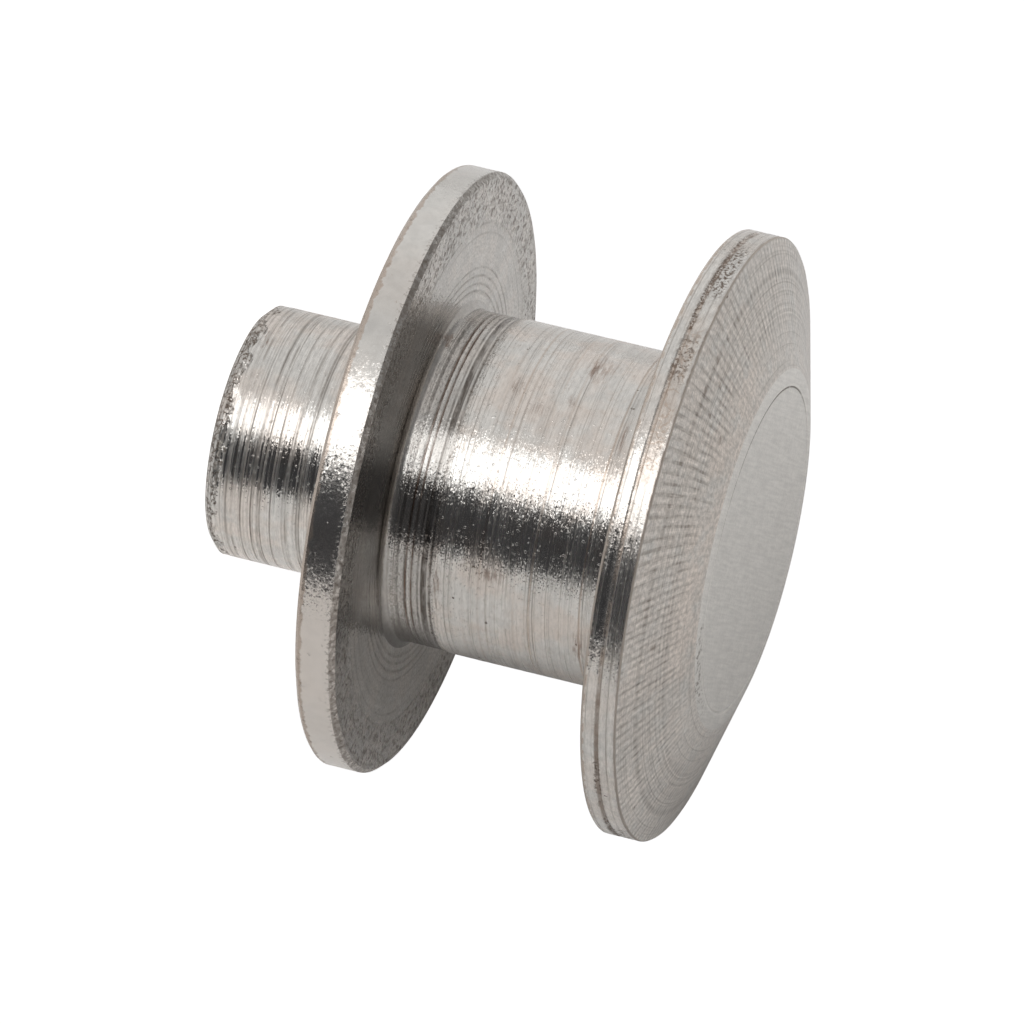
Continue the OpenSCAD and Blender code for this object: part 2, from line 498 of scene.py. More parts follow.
class Steel:
    """The steel of one zone, built up layer by layer. Lengths in millimetres, heights in micrometres."""

    def __init__(self, name, along, rough, aniso=0.6):
        self.material = bpy.data.materials.new(name)
        self.material.use_nodes = True
        self.n = n = Nodes(self.material.node_tree)
        self.xyz = n.scale(n.add("ShaderNodeTexCoord").outputs["Object"], 1 / MM)
        self.x, self.y, self.z = n.split(self.xyz)
        self.radius = n.math("SQRT", n.math("ADD", n.times(self.x, self.x), n.times(self.y, self.y)))
        self.turn = n.math("ARCTAN2", self.x, n.times(self.y, -1.0))
        self.azimuth = n.times(self.turn, 180 / math.pi)
        self.on_wall = along == "z"
        self.along = self.z if self.on_wall else self.radius
        self.flecks = None
        self.colour = STEEL
        self.rough = rough
        self.aniso = aniso
        self.metal = 1.0
        self.height = 0.0
        self.aside = 0.0
        self.forward = 0.0
        self.calm = 0.0

    # Patterns: noises and masks

    def rings(self, pitch, seed, wander, detail):
        """Noise in lines round the pin. They change a little on their way round."""
        n = self.n
        along = n.math("MULTIPLY_ADD", self.along, 1 / pitch, seed)
        return n.noise(n.join(n.times(self.x, wander), n.times(self.y, wander), along), 1.0, detail, 0.6)

    def cloud(self, size, seed, detail=3.0):
        """Noise without a direction."""
        return self.n.noise(self.n.shift(self.xyz, (seed, -seed, 2 * seed)), 1 / size, detail, 0.6)

    def drawn(self, across, along, detail):
        """Noise that is finer along the pin's axis than across it."""
        n = self.n
        place = n.join(n.times(self.x, across), n.times(self.y, across), n.times(self.z, along))
        return n.noise(place, 1.0, detail, 0.7)

    def sector(self, start, end, soft):
        """A mask of a range of azimuths."""
        return self.n.window(self.azimuth, start, end, soft)

    def band(self, start, end, soft):
        """A mask of a range along the section."""
        return self.n.window(self.along, start, end, soft)

    def around(self, place, width, soft):
        """A band that has its middle at a place along the section."""
        return self.band(place - width / 2, place + width / 2, soft)

    def broken(self, mask, size, seed, start, end, low=0.0, detail=3.0):
        """Breaks up a mask: it fades to low where a cloud is below start, and is whole above end."""
        return self.n.times(mask, self.n.step(self.cloud(size, seed, detail), start, end, low))

    def ragged(self, mask, size, seed, amount):
        """Breaks only the edge of a mask."""
        n = self.n
        noise = n.times(n.centred(self.cloud(size, seed)), amount * 4)
        return n.step(n.math("ADD", mask, noise), 0.35, 0.65)

    def dots(self, cell, share, size, seed):
        """A mask of small uneven dots in a share of the cells."""
        n = self.n
        shifted = n.shift(self.xyz, (seed, seed, seed))
        wobble = n.add("ShaderNodeTexNoise", {"Vector": shifted, "Scale": 2.5 / cell, "Detail": 2.0})
        moved = n.shift(n.scale(wobble.outputs["Color"], cell * 0.6), shifted)
        cells = n.add("ShaderNodeTexVoronoi", {"Vector": moved, "Scale": 1 / cell})
        chosen = n.math("LESS_THAN", n.split(cells.outputs["Color"])[0], share)
        dot = n.step(cells.outputs["Distance"], size / cell * 0.6, size / cell, 1.0, 0.0)
        return n.times(dot, chosen)

    def smudge(self, along, azimuth, length, angle, core=0.22):
        """A mask of a loose group of flecks at a place along the section and round the pin."""
        n = self.n
        a = n.math("DIVIDE", n.math("SUBTRACT", self.along, along), length)
        b = n.math("DIVIDE", n.math("SUBTRACT", self.azimuth, azimuth), angle)
        far = n.math("SQRT", n.math("ADD", n.times(a, a), n.times(b, b)))
        inside = n.step(far, 0.0, 1.3, 1.0, 0.0)
        if self.flecks is None:
            self.flecks = self.drawn(across=3.0, along=20.0, detail=5.0)
        flecks = n.math("MULTIPLY_ADD", inside, core, self.flecks)
        return n.times(n.step(flecks, 0.56, 0.82), n.step(inside, 0.05, 0.5))

    def outlines(self, size, seed, width=0.03):
        """A mask of thin wavy lines, like the rims of dried drops."""
        ridge = self.n.math("ABSOLUTE", self.n.centred(self.cloud(size, seed)))
        return self.n.step(ridge, width * 0.3, width, 1.0, 0.0)

    # Layers: each changes the colour, the finish or the surface

    def tint(self, mask, colour, strength=1.0):
        self.colour = self.n.mix(self.n.times(mask, strength), self.colour, colour)

    def shade(self, factor):
        self.colour = self.n.scale(self.colour, factor)

    def shade_where(self, mask, change):
        """Makes the steel lighter, or darker if the change is below 0."""
        self.shade(self.n.math("MULTIPLY_ADD", mask, change, 1.0))

    def mottle(self, size, seed, low, high, spread=0.2):
        """Darker and lighter clouds."""
        self.shade(self.n.step(self.cloud(size, seed), 0.5 - spread, 0.5 + spread, low, high))

    def roughen(self, mask, amount):
        self.rough = self.n.math("MULTIPLY_ADD", mask, amount, self.rough)

    def lift(self, value, micrometres):
        self.height = self.n.math("MULTIPLY_ADD", value, micrometres, self.height)

    def dirty(self, mask, colour, strength, rough=0.25, metal=-0.4):
        """Residue that covers the steel, with its changes of roughness and of metal."""
        cover = self.n.times(mask, strength)
        self.tint(cover, colour)
        self.roughen(cover, rough)
        self.metal = self.n.math("MULTIPLY_ADD", cover, metal, self.metal)

    def stain(self, mask, colour, strength):
        """A thin film, with the steel's shine still there."""
        self.dirty(mask, colour, strength, rough=0.1, metal=-0.2)

    def crust(self, mask, colour, strength, rough):
        """Thick residue, without the steel's shine."""
        self.dirty(mask, colour, strength, rough, metal=-0.8)

    def patches(self, warm, size):
        """Broad warm and grey patches."""
        n = self.n
        self.tint(n.step(self.cloud(size, seed=1.0), 0.42, 0.6), WARM_STEEL, warm)
        self.tint(n.step(self.cloud(size * 0.7, seed=6.0), 0.5, 0.66), GREY_STEEL, 0.6)

    def dashes(self, depth):
        """Short lighter and darker dashes along the turning lines."""
        drawn = self.drawn(across=5.0, along=17.0, detail=2.0)
        self.shade(self.n.step(drawn, 0.3, 0.7, 1 - depth, 1 + depth))

    def bands(self, pitch, depth, seed, rough=0.04, lean=0.02):
        """Rings that are lighter or darker, smoother or rougher, and turned a little aside."""
        n = self.n
        value = self.rings(pitch, seed, wander=0.05, detail=3.0)
        self.shade(n.step(value, 0.34, 0.66, 1 - depth, 1 + depth * 0.5))
        other = self.rings(pitch * 0.5, seed + 40, wander=0.1, detail=3.0)
        self.roughen(n.centred(other), rough * 4)
        turned = self.rings(pitch * 0.3, seed + 80, wander=0.15, detail=4.0)
        self.aside = n.math("MULTIPLY_ADD", n.centred(turned), lean * 5, self.aside)

    def facets(self, size, lean, seed, squeeze=1.0):
        """Crystal-like facets, each turned a little aside and a few of them a lot."""
        n = self.n
        place = n.join(
            n.math("ADD", self.x, seed), n.math("ADD", self.y, seed), n.times(self.z, squeeze))
        cells = n.add("ShaderNodeTexVoronoi", {"Vector": place, "Scale": 1 / size})
        first, second, _ = n.split(cells.outputs["Color"])
        for name, value in (("aside", first), ("forward", second)):
            cubed = n.math("POWER", n.math("MULTIPLY_ADD", value, 2.0, -1.0), 3.0)
            setattr(self, name, n.math("MULTIPLY_ADD", cubed, lean, getattr(self, name)))

    def lines(self, pitch, width, strength, seed, rough=0.1, depth=1.5, colour=GROOVE):
        """Thin torn grooves at uneven distances. Each has its own strength and is weaker in places."""
        n = self.n
        sway = n.centred(self.rings(0.6, seed + 9, wander=0.3, detail=2.0))
        place = n.math("DIVIDE", n.math("MULTIPLY_ADD", sway, 0.05, self.along), pitch)
        place = n.math("ADD", place, seed)
        cells = n.add(
            "ShaderNodeTexVoronoi", {"W": place, "Scale": 1.0}, voronoi_dimensions="1D")
        own = n.math("POWER", n.split(cells.outputs["Color"])[0], 1.6)
        line = n.step(cells.outputs["Distance"], width / pitch * 0.2, width / pitch * 0.8, 1.0, 0.0)
        presence = n.step(self.rings(pitch * 2, seed + 20, wander=0.3, detail=3.0), 0.36, 0.6, 0.3)
        line = n.times(n.times(line, own), presence)
        self.tint(line, colour, strength)
        self.roughen(line, rough)
        self.lift(line, -depth)

    def deep_turns(self, places, width, strength, seed, colour=GROOVE, depth=3.0):
        """The few deepest turning lines, at known places."""
        uneven = self.n.step(self.cloud(0.9, seed), 0.36, 0.6, 0.35)
        for place in places:
            line = self.n.times(self.around(place, width, width * 0.8), uneven)
            self.tint(line, colour, strength)
            self.roughen(line, 0.1)
            self.lift(line, -depth)

    def grain(self, size, height):
        """Fine grain, which breaks up the edges of the reflections."""
        self.lift(self.cloud(size, seed=3.0, detail=2.0), height)

    def pits(self, cell, share, size, seed):
        """Small pits that sparkle."""
        dot = self.dots(cell, share, size, seed)
        self.lift(dot, -PIT_DEPTH)
        self.tint(dot, GROOVE, 0.25)

    def glints(self, cell, share, size, seed):
        """Tiny burrs that catch the light from another side."""
        self.lift(self.dots(cell, share, size, seed), BURR_HEIGHT)

    def specks(self, cell, share, size, seed, colour=RESIDUE, strength=0.8):
        """Dark specks of residue."""
        self.dirty(self.dots(cell, share, size, seed), colour, strength)

    def lean(self, normal, direction, amount):
        return self.n.shift(normal, self.n.scale(direction, amount))

    def straight(self, normal):
        """A normal made one long again."""
        return self.n.add("ShaderNodeVectorMath", {0: normal}, operation="NORMALIZE").outputs[0]

    def close(self):
        """Makes the shader from the layers."""
        n = self.n
        normal = n.add("ShaderNodeNewGeometry").outputs["Normal"]
        east = n.math("SINE", self.turn)
        north = n.math("COSINE", self.turn)
        radial = n.join(east, n.times(north, -1.0), 0.0)
        calmed = self.straight(self.lean(normal, radial, self.calm))
        turned = self.lean(calmed, n.join(north, east, 0.0), self.aside)
        ahead = (0.0, 0.0, 1.0) if self.on_wall else radial
        leaning = self.straight(self.lean(turned, ahead, self.forward))
        bump = n.add("ShaderNodeBump", {
            "Strength": 1.0, "Distance": MICRON, "Height": self.height, "Normal": leaning})
        tangent = n.add("ShaderNodeTangent", direction_type="RADIAL", axis="Z")
        shader = n.add("ShaderNodeBsdfPrincipled", {
            "Base Color": self.colour, "Metallic": self.metal, "Roughness": self.rough,
            "Anisotropic": self.aniso, "Anisotropic Rotation": 0.25, "Normal": bump.outputs[0],
            "Tangent": tangent.outputs[0]})
        n.add("ShaderNodeOutputMaterial", {"Surface": shader.outputs[0]})
        return self.material


def spigot_steel(name):
    """Coarse turned rings, a torn and dirty band just behind the end, and painted light that makes one
    side lighter.
    """
    s = Steel(name, "z", rough=0.2)
    n = s.n
    s.patches(warm=0.8, size=1.2)
    s.bands(pitch=0.1, depth=0.08, seed=2.0, rough=0.3, lean=0.05)
    s.lines(pitch=0.12, width=0.04, strength=0.75, seed=6.0, rough=0.45)
    s.lines(pitch=0.06, width=0.03, strength=0.5, seed=16.0, rough=0.25, depth=0.7)
    s.deep_turns(SPIGOT_TURNS, width=0.05, strength=0.6, seed=4.0)
    s.grain(size=0.06, height=2)
    s.dashes(depth=0.1)
    s.facets(size=0.035, lean=0.08, seed=2.0, squeeze=1.5)
    s.glints(cell=0.11, share=0.35, size=0.035, seed=5.0)
    s.specks(cell=0.45, share=0.12, size=0.045, seed=7.0)
    # Painted light: this side of the spigot is made lighter.
    s.shade_where(s.sector(*SPIGOT_PAINTED_LIGHT), 0.12)
    end = n.step(s.cloud(size=0.45, seed=5.0), 0.35, 0.65, 0.24, 0.46)
    before = n.step(n.math("SUBTRACT", s.z, end), -0.06, 0.02, 1.0, 0.0)
    torn = n.times(n.step(s.z, 0.0, 0.05), before)
    s.shade_where(torn, -0.15)
    s.dirty(n.times(torn, s.outlines(size=0.2, seed=9.0, width=0.05)), RESIDUE, 0.9)
    s.dirty(s.broken(torn, size=0.22, seed=4.0, start=0.57, end=0.66), RESIDUE, 0.5)
    s.lift(n.times(torn, s.cloud(size=0.2, seed=9.0)), 40)
    s.dirty(s.smudge(*SPIGOT_STAIN), RUST, 0.7)
    return s.close()


def collar_rim_steel(name):
    """Smooth and mottled, with a warm edge on the spigot side, a pitted one on the neck side, and a
    sector of painted shade.
    """
    s = Steel(name, "z", rough=0.2, aniso=0.2)
    n = s.n
    s.patches(warm=0.4, size=2.4)
    s.mottle(size=0.3, seed=4.0, low=0.93, high=1.03)
    s.grain(size=0.12, height=5)
    s.facets(size=0.04, lean=0.07, seed=3.0)
    s.pits(cell=0.25, share=0.14, size=0.04, seed=3.0)
    s.specks(cell=0.45, share=0.1, size=0.04, seed=8.0)
    s.specks(cell=0.3, share=0.2, size=0.035, seed=11.0, colour=WARM_RESIDUE, strength=0.5)
    # Painted shade: a darker sector just before the highlight.
    s.tint(s.sector(*COLLAR_RIM_PAINTED_SHADE), DULL_STEEL_AND_SHADE, 0.2)
    s.tint(s.sector(*COLLAR_RIM_WARM), WARM_STEEL, 0.5)
    low_edge = n.step(s.z, COLLAR_Z + 0.04, COLLAR_Z + 0.26, 1.0, 0.0)
    seat = s.ragged(low_edge, size=0.2, seed=2.0, amount=0.4)
    s.stain(seat, WARM_RESIDUE, 0.6)
    s.dirty(s.broken(seat, size=0.13, seed=3.0, start=0.5, end=0.7, detail=5.0), RESIDUE, 0.35)
    high_edge = n.step(s.z, NECK_Z - 0.3, NECK_Z - 0.05)
    holes = s.broken(high_edge, size=0.08, seed=6.0, start=0.53, end=0.63)
    s.dirty(holes, RESIDUE, 0.5)
    s.lift(holes, -PIT_DEPTH)
    chamfer = n.step(s.z, NECK_Z - 0.14, NECK_Z - 0.1)
    s.dirty(s.broken(chamfer, size=0.12, seed=7.0, start=0.35, end=0.6, low=0.25), RESIDUE, 0.6)
    s.lift(n.times(chamfer, s.cloud(size=0.1, seed=9.0)), 12)
    return s.close()


def collar_face_steel(name):
    """Dull, with gritty pits near the rim, a few arcs, and painted shade that darkens one sector."""
    s = Steel(name, "r", rough=0.18, aniso=0.2)
    n = s.n
    s.tint(0.48, DULL_STEEL_AND_SHADE)
    s.patches(warm=0.4, size=1.0)
    s.bands(pitch=0.3, depth=0.06, seed=5.0)
    s.deep_turns(COLLAR_EDGE_TURNS, width=0.06, strength=0.3, seed=6.0)
    s.deep_turns(COLLAR_ROOT_TURNS, width=0.06, strength=0.5, seed=3.0)
    s.lines(pitch=0.2, width=0.06, strength=0.5, seed=9.0, rough=0.05)
    s.grain(size=0.06, height=4)
    s.facets(size=0.05, lean=0.07, seed=4.0)
    s.mottle(size=0.07, seed=2.0, low=0.76, high=1.14, spread=0.15)
    outer = n.step(s.radius, 5.8, 6.3)
    s.dirty(s.broken(outer, size=0.12, seed=6.0, start=0.48, end=0.62, detail=4.0), RESIDUE, 0.7)
    s.lift(n.times(outer, s.cloud(size=0.12, seed=6.0)), 12)
    s.pits(cell=0.3, share=0.2, size=0.06, seed=5.0)
    s.specks(cell=0.7, share=0.12, size=0.06, seed=3.0, colour=RUST)
    # Painted shade: one sector of the face is made darker.
    s.shade_where(s.sector(*COLLAR_FACE_PAINTED_SHADE), -0.5)
    return s.close()


def relief_steel(name):
    """Torn grooves with residue and painted shade in them, painted shade on one side and in the corner
    by the collar, and a ragged step up to the neck.
    """
    s = Steel(name, "z", rough=0.2)
    n = s.n
    s.tint(0.45, DULL_STEEL_AND_SHADE)
    s.patches(warm=0.4, size=1.0)
    root_end = NECK_Z + COLLAR_ROOT_R
    s.forward = RELIEF_TAPER
    s.calm = n.step(s.z, root_end, root_end + 0.08, 0.0, RELIEF_CALM)
    s.bands(pitch=0.12, depth=0.1, seed=3.0)
    s.lines(pitch=0.09, width=0.04, strength=0.6, seed=7.0, rough=0.08)
    # Painted highlight: the stripes fade where the soft box's reflection falls.
    highlight_fade = n.math("MULTIPLY_ADD", s.sector(*RELIEF_PAINTED_HIGHLIGHT), -0.55, 1.0)
    worn = n.step(s.drawn(across=1.2, along=5.0, detail=3.0), 0.36, 0.6, 0.5)
    uneven = n.times(highlight_fade, worn)
    for height, width, strength in RELIEF_STAIN_AND_SHADE_STRIPES:
        stripe = n.times(s.around(NECK_Z + height, width, STRIPE_SOFT), uneven)
        s.tint(stripe, DARK_STEEL, strength)
    s.lines(pitch=0.16, width=0.03, strength=0.7, seed=17.0, rough=0.0, depth=0.5, colour=STEEL)
    turns = [NECK_Z + height for height in RELIEF_TURNS]
    s.deep_turns(turns, width=0.04, strength=0.5, seed=3.0, colour=RUST)
    # Painted shade: darker in the corner by the collar.
    s.tint(n.step(s.z, NECK_Z + 0.05, NECK_Z + 0.2, 1.0, 0.0), DULL_STEEL_AND_SHADE, 0.65)
    # Painted shade: this side of the relief is tinted and shaded darker.
    s.tint(s.sector(*RELIEF_TINTED_SHADE), DULL_STEEL_AND_SHADE, 0.75)
    s.shade_where(s.sector(*RELIEF_PAINTED_SHADE), -0.5)
    step = s.band(NECK_Z + RELIEF_LEN - 0.1, NECK_Z + RELIEF_LEN + 0.03, 0.04)
    step = s.broken(step, size=0.35, seed=7.0, start=0.4, end=0.6)
    s.dirty(s.broken(step, size=0.08, seed=5.0, start=0.42, end=0.62), RESIDUE, 0.5)
    s.grain(size=0.06, height=4)
    s.dashes(depth=0.1)
    s.facets(size=0.035, lean=0.1, seed=5.0, squeeze=1.5)
    s.dirty(s.smudge(*RELIEF_STAIN), RUST, 0.8)
    return s.close()


def neck_steel(name):
    """Fine turned rings with a few deep ones, warm patches and specks."""
    s = Steel(name, "z", rough=0.2)
    n = s.n
    s.patches(warm=0.9, size=1.4)
    s.bands(pitch=0.21, depth=0.05, seed=9.0, rough=0.06)
    s.lines(pitch=0.14, width=0.038, strength=0.34, seed=2.5, depth=0.4)
    s.lines(pitch=0.06, width=0.028, strength=0.35, seed=12.0, rough=0.2, depth=0.4)
    s.lines(pitch=0.3, width=0.05, strength=0.6, seed=31.0, rough=0.05, depth=0.3, colour=WARM_RESIDUE)
    turns = [NECK_Z + height for height in NECK_TURNS]
    s.deep_turns(turns, width=0.035, strength=0.3, seed=7.0, depth=0.6)
    s.tint(n.step(s.cloud(size=0.2, seed=21.0, detail=5.0), 0.5, 0.75, 0.0, 0.2), WARM_RESIDUE)
    s.grain(size=0.06, height=2)
    s.dashes(depth=0.07)
    s.facets(size=0.033, lean=0.1, seed=4.0, squeeze=1.5)
    s.glints(cell=0.11, share=0.4, size=0.035, seed=3.0)
    s.specks(cell=0.4, share=0.14, size=0.045, seed=6.0)
    for height, azimuth, length, angle, strength in NECK_STAINS:
        smudge = s.smudge(NECK_Z + height, azimuth, length, angle)
        s.dirty(smudge, RUST, strength, rough=0.15, metal=-0.2)
    step = n.step(s.z, NECK_Z + RELIEF_LEN, NECK_Z + RELIEF_LEN + 0.08, 1.0, 0.0)
    s.dirty(s.broken(step, size=0.08, seed=8.0, start=0.5, end=0.62), RESIDUE, 0.4)
    return s.close()


def groove_residue(s):
    """Residue in the head rim's groove, with clots in some sectors."""
    n = s.n
    groove = s.around(RIM_GROOVE_Z, 0.1, 0.05)
    s.stain(s.broken(groove, size=0.5, seed=2.0, start=0.38, end=0.6, low=0.2), WARM_RESIDUE, 0.6)
    s.stain(n.times(groove, s.sector(*GROOVE_FULL)), RESIDUE, 0.5)
    dry = n.times(s.sector(*GROOVE_DRY), s.band(RIM_GROOVE_Z, RIM_Z - 0.1, 0.15))
    s.tint(dry, WARM_RESIDUE, 0.3)
    s.stain(n.times(dry, s.outlines(size=0.5, seed=6.0)), WARM_RESIDUE, 0.5)
    ends = n.math("MAXIMUM", s.sector(*CLOTS_BEFORE), s.sector(*CLOTS_AFTER))
    clots = s.band(RIM_GROOVE_Z - 0.08, RIM_GROOVE_Z + 0.07, 0.06)
    clots = n.times(clots, n.math("MAXIMUM", ends, 0.15))
    clots = s.broken(clots, size=0.11, seed=3.0, start=0.43, end=0.52)
    clots = s.broken(clots, size=0.045, seed=6.0, start=0.42, end=0.52)
    clots = s.broken(clots, size=0.7, seed=8.0, start=0.36, end=0.5)
    smear = n.math("MAXIMUM", s.sector(*SMEAR_STRONG), n.times(s.sector(*SMEAR_WEAK), 0.8))
    smear = n.math("MAXIMUM", smear, s.sector(*SMEAR_LAST))
    smear = n.times(smear, s.band(RIM_GROOVE_Z - 0.08, RIM_GROOVE_Z + 0.33, 0.15))
    smear = s.broken(smear, size=0.07, seed=5.0, start=0.5, end=0.58)
    clots = n.math("MAXIMUM", clots, smear)
    s.crust(clots, CLOT, 0.85, rough=0.4)
    s.lift(clots, 4)


def rim_edges(s):
    """Pale residue on both edges of the head's rim, with a dark line behind each."""
    n = s.n
    s.crust(s.band(RIM_Z - 0.035, RIM_Z + 0.03, 0.02), PALE_RESIDUE, 0.8, rough=0.2)
    line = s.band(RIM_Z - 0.055, RIM_Z - 0.02, 0.03)
    line = n.times(line, n.math("MAXIMUM", s.sector(*FRONT_EDGE_DARK), 0.35))
    line = s.broken(line, size=0.3, seed=5.0, start=0.38, end=0.6, low=0.15, detail=4.0)
    s.dirty(line, CLOT, 0.6)
    s.crust(s.band(HEAD_Z, HEAD_Z + 0.06, 0.03), PALE_RESIDUE, 0.8, rough=0.2)
    line = s.band(HEAD_Z + 0.05, HEAD_Z + 0.1, 0.05)
    s.stain(s.broken(line, size=0.3, seed=9.0, start=0.42, end=0.55), WARM_RESIDUE, 0.6)


def head_rim_steel(name):
    """A smooth rim with residue in its groove and along its edges."""
    s = Steel(name, "z", rough=0.2, aniso=0.3)
    s.patches(warm=0.6, size=1.6)
    s.mottle(size=0.3, seed=7.0, low=0.9, high=1.03)
    s.bands(pitch=0.14, depth=0.06, seed=3.0, rough=0.08, lean=0.03)
    s.lines(pitch=0.1, width=0.04, strength=0.6, seed=5.5, rough=0.12)
    s.grain(size=0.1, height=4)
    s.dashes(depth=0.1)
    s.facets(size=0.04, lean=0.08, seed=6.0)
    s.specks(cell=0.4, share=0.15, size=0.045, seed=8.0)
    s.roughen(s.n.step(s.z, RIM_GROOVE_Z + 0.03, RIM_GROOVE_Z + 0.13), 0.05)
    groove_residue(s)
    rim_edges(s)
    return s.close()


def chatter(s):
    """Broken radial marks of the tool's chatter, stronger where dull rings cross them, with painted
    highlights beside the marks and along the rings.
    """
    n = s.n
    lean = n.math("MULTIPLY_ADD", s.sector(*CHATTER_TURNED), -CHATTER_LEAN * 1.7, CHATTER_LEAN)
    inward = n.math("SUBTRACT", s.radius, LAND_R)
    phase = n.math("SUBTRACT", s.turn, n.times(inward, lean))
    wave = n.math("SINE", n.times(phase, CHATTER))
    round_x = n.times(n.math("COSINE", phase), CHATTER / 3)
    round_y = n.times(n.math("SINE", phase), CHATTER / 3)
    spokes = n.noise(n.join(round_x, round_y, n.times(s.radius, 0.7)), 1.0, 3.0, 0.7)
    pieces = n.noise(n.join(round_x, round_y, n.times(s.radius, 2.2)), 1.0, 2.0, 0.6)
    outer = n.step(s.radius, 4.4, 5.5, 0.15)
    worn = 0.0
    for radius, width, strength in CONE_RINGS:
        worn = n.math("MULTIPLY_ADD", s.around(radius, width, width * 0.8), strength, worn)
    dash = n.times(n.step(wave, -0.1, 0.85), n.step(spokes, 0.34, 0.6, 0.35))
    dash = n.times(n.times(dash, n.step(pieces, 0.36, 0.6, 0.25)), outer)
    s.tint(n.times(dash, n.math("MULTIPLY_ADD", worn, 1.2, 0.48)), GROOVE)
    s.tint(s.broken(worn, size=0.5, seed=3.0, start=0.35, end=0.6, low=0.4), GROOVE)
    # Painted highlights: lighter dashes beside the chatter marks.
    pale = n.times(n.step(wave, -0.6, -1.0), n.step(pieces, 0.45, 0.6))
    s.shade_where(n.times(pale, outer), 0.14)
    s.lift(dash, -5.0)
    # Painted highlights: a lighter band just outside each dull ring.
    for radius, width, strength in CONE_RINGS:
        edge = s.band(radius + width / 2 + 0.01, radius + width / 2 + 0.05, 0.03)
        s.shade_where(edge, strength * 0.4)


def cone_steel(name):
    """Chatter marks and dull rings on a warm ground, with one side painted lighter."""
    s = Steel(name, "r", rough=0.34, aniso=0.3)
    n = s.n
    s.shade(0.85)
    s.tint(0.3, WARM_STEEL)
    inner = n.times(n.step(s.radius, 4.9, 5.8, 1.0, 0.4), s.sector(*CONE_WARM))
    s.tint(s.broken(inner, size=1.2, seed=2.0, start=0.35, end=0.6), WARM_STEEL)
    s.patches(warm=0.3, size=1.0)
    s.bands(pitch=0.12, depth=0.04, seed=4.0)
    chatter(s)
    s.mottle(size=0.1, seed=2.0, low=0.84, high=1.14, spread=0.15)
    # Painted light: this side of the cone is made lighter.
    s.shade_where(s.sector(*CONE_PAINTED_LIGHT), 0.16)
    s.lines(pitch=0.09, width=0.03, strength=0.35, seed=9.0, rough=0.05, depth=1.0)
    s.grain(size=0.1, height=7)
    s.specks(cell=0.7, share=0.12, size=0.05, seed=6.0, colour=CLOT, strength=0.7)
    for place in CONE_STAINS:
        s.dirty(s.smudge(*place, core=0.3), CLOT, 0.4)
    return s.close()


def land_steel(name):
    """Smooth and grey, with a witness line just inside its edge and a painted highlight beside it."""
    s = Steel(name, "r", rough=0.36, aniso=0.2)
    n = s.n
    s.tint(0.6, GREY_STEEL)
    s.shade(1.1)
    s.mottle(size=0.06, seed=4.0, low=0.95, high=1.08)
    s.mottle(size=0.5, seed=6.0, low=0.97, high=1.04)
    strokes = n.join(n.times(s.x, 14.0), n.times(s.y, 0.8), 1.0)
    s.shade(n.step(n.noise(strokes, 1.0, 3.0), 0.3, 0.7, 0.95, 1.08))
    # Painted highlight: a lighter band just outside the witness line.
    s.shade_where(s.band(WITNESS_R + 0.03, WITNESS_R + 0.08, 0.03), 0.1)
    clear = n.math("MAXIMUM", s.sector(*WITNESS_DARK), 0.2)
    line = n.times(s.around(WITNESS_R, 0.04, 0.025), clear)
    s.dirty(s.broken(line, size=0.6, seed=3.0, start=0.35, end=0.5, low=0.4), RESIDUE, 0.75)
    blend = n.times(n.step(s.radius, FLAT_R - 0.1, LAND_R - 0.1), s.sector(*BLEND_SPOTTED))
    s.dirty(s.broken(blend, size=0.12, seed=8.0, start=0.53, end=0.62), RESIDUE, 0.6)
    s.grain(size=0.06, height=3)
    s.specks(cell=0.8, share=0.08, size=0.035, seed=6.0)
    return s.close()


def plain_steel(name):
    """Turned faces without marks of their own."""
    s = Steel(name, "r", rough=0.3)
    s.patches(warm=0.6, size=1.4)
    s.bands(pitch=0.25, depth=0.06, seed=7.0)
    s.lines(pitch=0.12, width=0.04, strength=0.5, seed=3.5)
    s.grain(size=0.06, height=3)
    s.facets(size=0.04, lean=0.07, seed=2.0)
    s.specks(cell=0.6, share=0.1, size=0.05, seed=7.0)
    return s.close()


ZONE_STEEL = {
    "spigot_end": plain_steel,
    "spigot": spigot_steel,
    "collar_seat": plain_steel,
    "collar_rim": collar_rim_steel,
    "collar_face": collar_face_steel,
    "relief": relief_steel,
    "neck": neck_steel,
    "head_back": plain_steel,
    "head_rim": head_rim_steel,
    "cone": cone_steel,
    "land": land_steel,
}


# ---------------------------------------------------------------- light, floor and camera

# Corners of a square, counterclockwise
SQUARE = ((-1, -1), (1, -1), (1, 1), (-1, 1))

# The floor is a hair below the spigot's end, so that the two don't meet. It only catches the shadow.
FLOOR_HALF = 500.0
FLOOR_Z = -0.01
FLOOR_COLOUR = (0.95, 0.95, 0.95, 1)
FLOOR_GLOW = 0.9

# The card stands behind the pin, beside both flanges
CARD_AZIMUTH = 142.0
CARD_GAP = 0.25
CARD_HALF = 300.0
CARD_COLOUR = (0.91, 0.9, 0.89, 1)
CARD_GLOW = 0.04

# Room: its colours, and where each one shows. A range of azimuth or height is start, end and
# softness, in degrees.
ROOM = (0.86, 0.855, 0.85, 1)
ROOM_ABOVE = (0.33, 0.33, 0.33, 1)
ABOVE_HEIGHT = (8.0, 75.0, 20.0)
KEY = (2.4, 2.4, 2.4, 1)
KEY_AZIMUTH = (-26.0, 1.5, 7.0)
KEY_HEIGHT = (-62.0, 8.0, 6.0)
ROOM_DARK = (0.05, 0.05, 0.053, 1)
DARK_AZIMUTH = (6.0, 52.0, 6.0)
DARK_HEIGHT = (-62.0, 55.0, 20.0)
ROOM_DIM = (0.13, 0.13, 0.132, 1)
DIM_AZIMUTH = (-8.0, 115.0, 14.0)
DIM_HEIGHT = (11.0, 60.0, 8.0)

